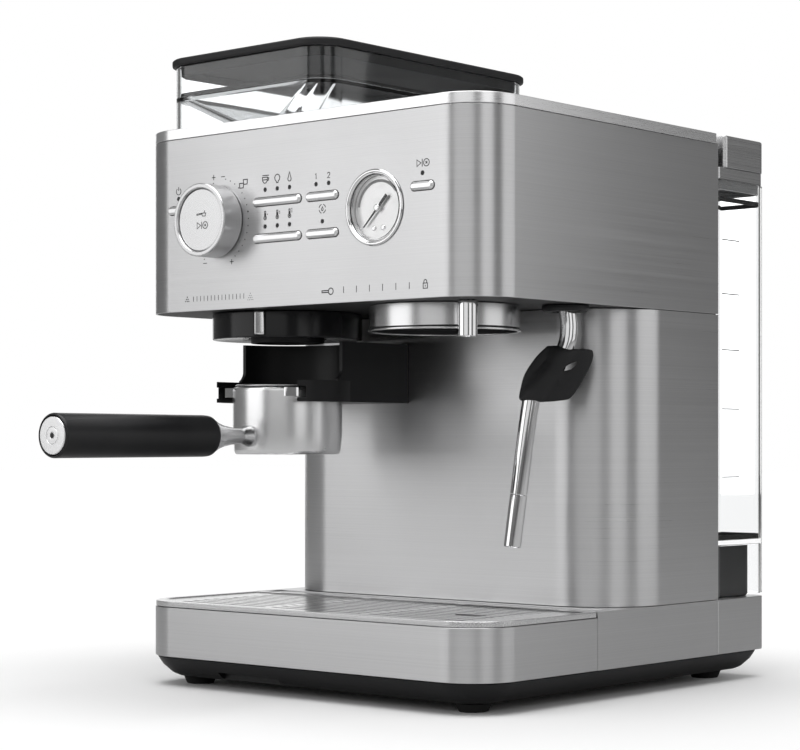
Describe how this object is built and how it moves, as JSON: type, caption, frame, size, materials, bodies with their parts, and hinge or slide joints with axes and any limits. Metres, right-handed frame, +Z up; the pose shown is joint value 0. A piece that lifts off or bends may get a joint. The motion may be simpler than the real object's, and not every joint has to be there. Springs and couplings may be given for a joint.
{
  "type": "espresso machine with grinder",
  "caption": "Countertop espresso machine with a built-in burr grinder, bean hopper, pump gauge, steam wand, portafilter on a dosing fork, slide-out drip tray and rear water tank.",
  "frame": {"origin": "on the counter, under the middle of the whole machine's bounding box, with the portafilter's handle counted in its depth", "axes": "+X to the machine's right side as its user sees it, +Y from the front panel to the back, +Z up"},
  "size_m": [0.3, 0.4572, 0.4234],
  "materials": {
    "steel_panel": "brushed",
    "steel_trim": "satin",
    "lid_steel": "brushed",
    "group_steel": "brushed",
    "knob_metal": "satin",
    "button_metal": "satin",
    "polished": "polished",
    "basket_steel": "satin",
    "black_body": "satin",
    "black_gloss": "gloss",
    "handle_black": "satin",
    "handle_end": "satin",
    "grip_rubber": "matte",
    "foot_rubber": "matte",
    "seal_rubber": "matte",
    "clear_plastic": "clear",
    "gauge_glass": "clear",
    "gauge_metal": "polished rim",
    "needle_black": "satin",
    "tray_black": "satin",
    "lamp_white": "diffuse",
    "machinery": "matte",
    "burr_steel": "ground",
    "boiler_metal": "cast",
    "pump_brass": "plain"
  },
  "bodies": {
    "machine": {"base_pan": "black_body", "foot_front_left": "foot_rubber", "foot_front_right": "foot_rubber", "foot_rear_left": "foot_rubber", "foot_rear_right": "foot_rubber", "base_side_cover": "steel_panel", "base_rear_cover": "steel_panel", "column_shell": "steel_panel", "rear_moulding": "black_body", "head_shell": "steel_panel", "head_floor": "steel_panel", "top_deck": "steel_trim", "power_inlet": "black_body", "pump": "pump_brass", "thermoblock": "boiler_metal", "control_board": "machinery", "grinder_motor": "machinery", "grinder_housing": "machinery", "upper_burr": "burr_steel", "grind_chute": "black_body", "dosing_fork": "black_body", "group_head": "group_steel", "group_gasket": "seal_rubber", "shower_screen": "group_steel", "group_ring": "group_steel", "hot_water_spout": "polished", "wand_socket": "black_body", "gauge_body": "gauge_metal", "gauge_glass": "gauge_glass", "light_guide": "lamp_white"},
    "hopper": {"hopper": "clear_plastic", "hopper_seal": "seal_rubber"},
    "hopper_lid": {"hopper_lid": "black_body"},
    "lower_burr": {"lower_burr": "burr_steel"},
    "grind_collar": {"grind_collar": "black_gloss", "grind_tab": "knob_metal"},
    "portafilter": {"portafilter_cup": "polished", "filter_basket": "basket_steel", "portafilter_neck": "polished", "handle_grip": "handle_black", "handle_cap": "handle_end"},
    "grind_knob": {"knob_ring": "knob_metal"},
    "brew_button": {"brew_button": "knob_metal"},
    "power_button": {"power_button": "button_metal"},
    "mode_button": {"mode_button": "button_metal"},
    "temperature_button": {"temperature_button": "button_metal"},
    "shot_button": {"shot_button": "button_metal"},
    "clean_button": {"clean_button": "button_metal"},
    "steam_button": {"steam_button": "button_metal"},
    "gauge_needle": {"gauge_needle": "needle_black"},
    "wand_ball": {"wand_ball": "polished"},
    "steam_wand": {"wand_tube": "polished", "wand_tip": "polished", "wand_grip": "grip_rubber"},
    "water_tank": {"water_tank": "clear_plastic"},
    "tank_lid": {"tank_lid": "lid_steel"},
    "drip_tray": {"drip_tray": "tray_black", "tray_fascia": "steel_panel"},
    "drip_grid": {"drip_grid": "steel_trim"},
    "tray_float": {"tray_float": "tray_black"}
  },
  "joints": [
    {"name": "hopper_lift", "type": "slide", "parent": "machine", "child": "hopper", "axis": [0, 0, 1], "range_m": [0, 0.08]},
    {"name": "hopper_lid_lift", "type": "slide", "parent": "hopper", "child": "hopper_lid", "axis": [0, 0, 1], "range_m": [0, 0.05]},
    {"name": "burr_spin", "type": "hinge", "parent": "machine", "child": "lower_burr", "pos_m": [-0.07, -0.02445, 0.3], "axis": [0, 0, 1], "continuous": true},
    {"name": "grind_collar_turn", "type": "hinge", "parent": "machine", "child": "grind_collar", "pos_m": [-0.07, -0.02445, 0.2385], "axis": [0, 0, 1], "range_deg": [-44, 4]},
    {"name": "portafilter_slide", "type": "slide", "parent": "machine", "child": "portafilter", "axis": [0, -1, 0], "range_m": [0, 0.13]},
    {"name": "grind_knob_turn", "type": "hinge", "parent": "machine", "child": "grind_knob", "pos_m": [-0.0702, -0.09645, 0.3064], "axis": [0, 1, 0], "range_deg": [-150, 150]},
    {"name": "brew_press", "type": "slide", "parent": "machine", "child": "brew_button", "axis": [0, 1, 0], "range_m": [0, 0.0015], "stiffness_N_per_m": 900},
    {"name": "power_press", "type": "slide", "parent": "machine", "child": "power_button", "axis": [0, 1, 0], "range_m": [0, 0.0015], "stiffness_N_per_m": 700},
    {"name": "mode_press", "type": "slide", "parent": "machine", "child": "mode_button", "axis": [0, 1, 0], "range_m": [0, 0.0015], "stiffness_N_per_m": 700},
    {"name": "temperature_press", "type": "slide", "parent": "machine", "child": "temperature_button", "axis": [0, 1, 0], "range_m": [0, 0.0015], "stiffness_N_per_m": 700},
    {"name": "shot_press", "type": "slide", "parent": "machine", "child": "shot_button", "axis": [0, 1, 0], "range_m": [0, 0.0015], "stiffness_N_per_m": 700},
    {"name": "clean_press", "type": "slide", "parent": "machine", "child": "clean_button", "axis": [0, 1, 0], "range_m": [0, 0.0015], "stiffness_N_per_m": 700},
    {"name": "steam_press", "type": "slide", "parent": "machine", "child": "steam_button", "axis": [0, 1, 0], "range_m": [0, 0.0015], "stiffness_N_per_m": 700},
    {"name": "gauge_needle_turn", "type": "hinge", "parent": "machine", "child": "gauge_needle", "pos_m": [0.0666, -0.08895, 0.306], "axis": [0, 1, 0], "range_deg": [0, 270]},
    {"name": "wand_swivel", "type": "hinge", "parent": "machine", "child": "wand_ball", "pos_m": [0.128, 0.02255, 0.253], "axis": [0, 0, 1], "range_deg": [-40, 95]},
    {"name": "wand_tilt", "type": "hinge", "parent": "wand_ball", "child": "steam_wand", "pos_m": [0.128, 0.02255, 0.253], "axis": [-0.6561, 0.7547, 0], "range_deg": [-6, 14]},
    {"name": "tank_lift", "type": "slide", "parent": "machine", "child": "water_tank", "axis": [0, 0, 1], "range_m": [0, 0.1]},
    {"name": "tank_lid_lift", "type": "slide", "parent": "water_tank", "child": "tank_lid", "axis": [0, 0, 1], "range_m": [0, 0.05]},
    {"name": "tray_slide", "type": "slide", "parent": "machine", "child": "drip_tray", "axis": [0, -1, 0], "range_m": [0, 0.14]},
    {"name": "grid_lift", "type": "slide", "parent": "drip_tray", "child": "drip_grid", "axis": [0, 0, 1], "range_m": [0, 0.034]},
    {"name": "float_rise", "type": "slide", "parent": "drip_tray", "child": "tray_float", "axis": [0, 0, 1], "range_m": [0, 0.006]}
  ]
}
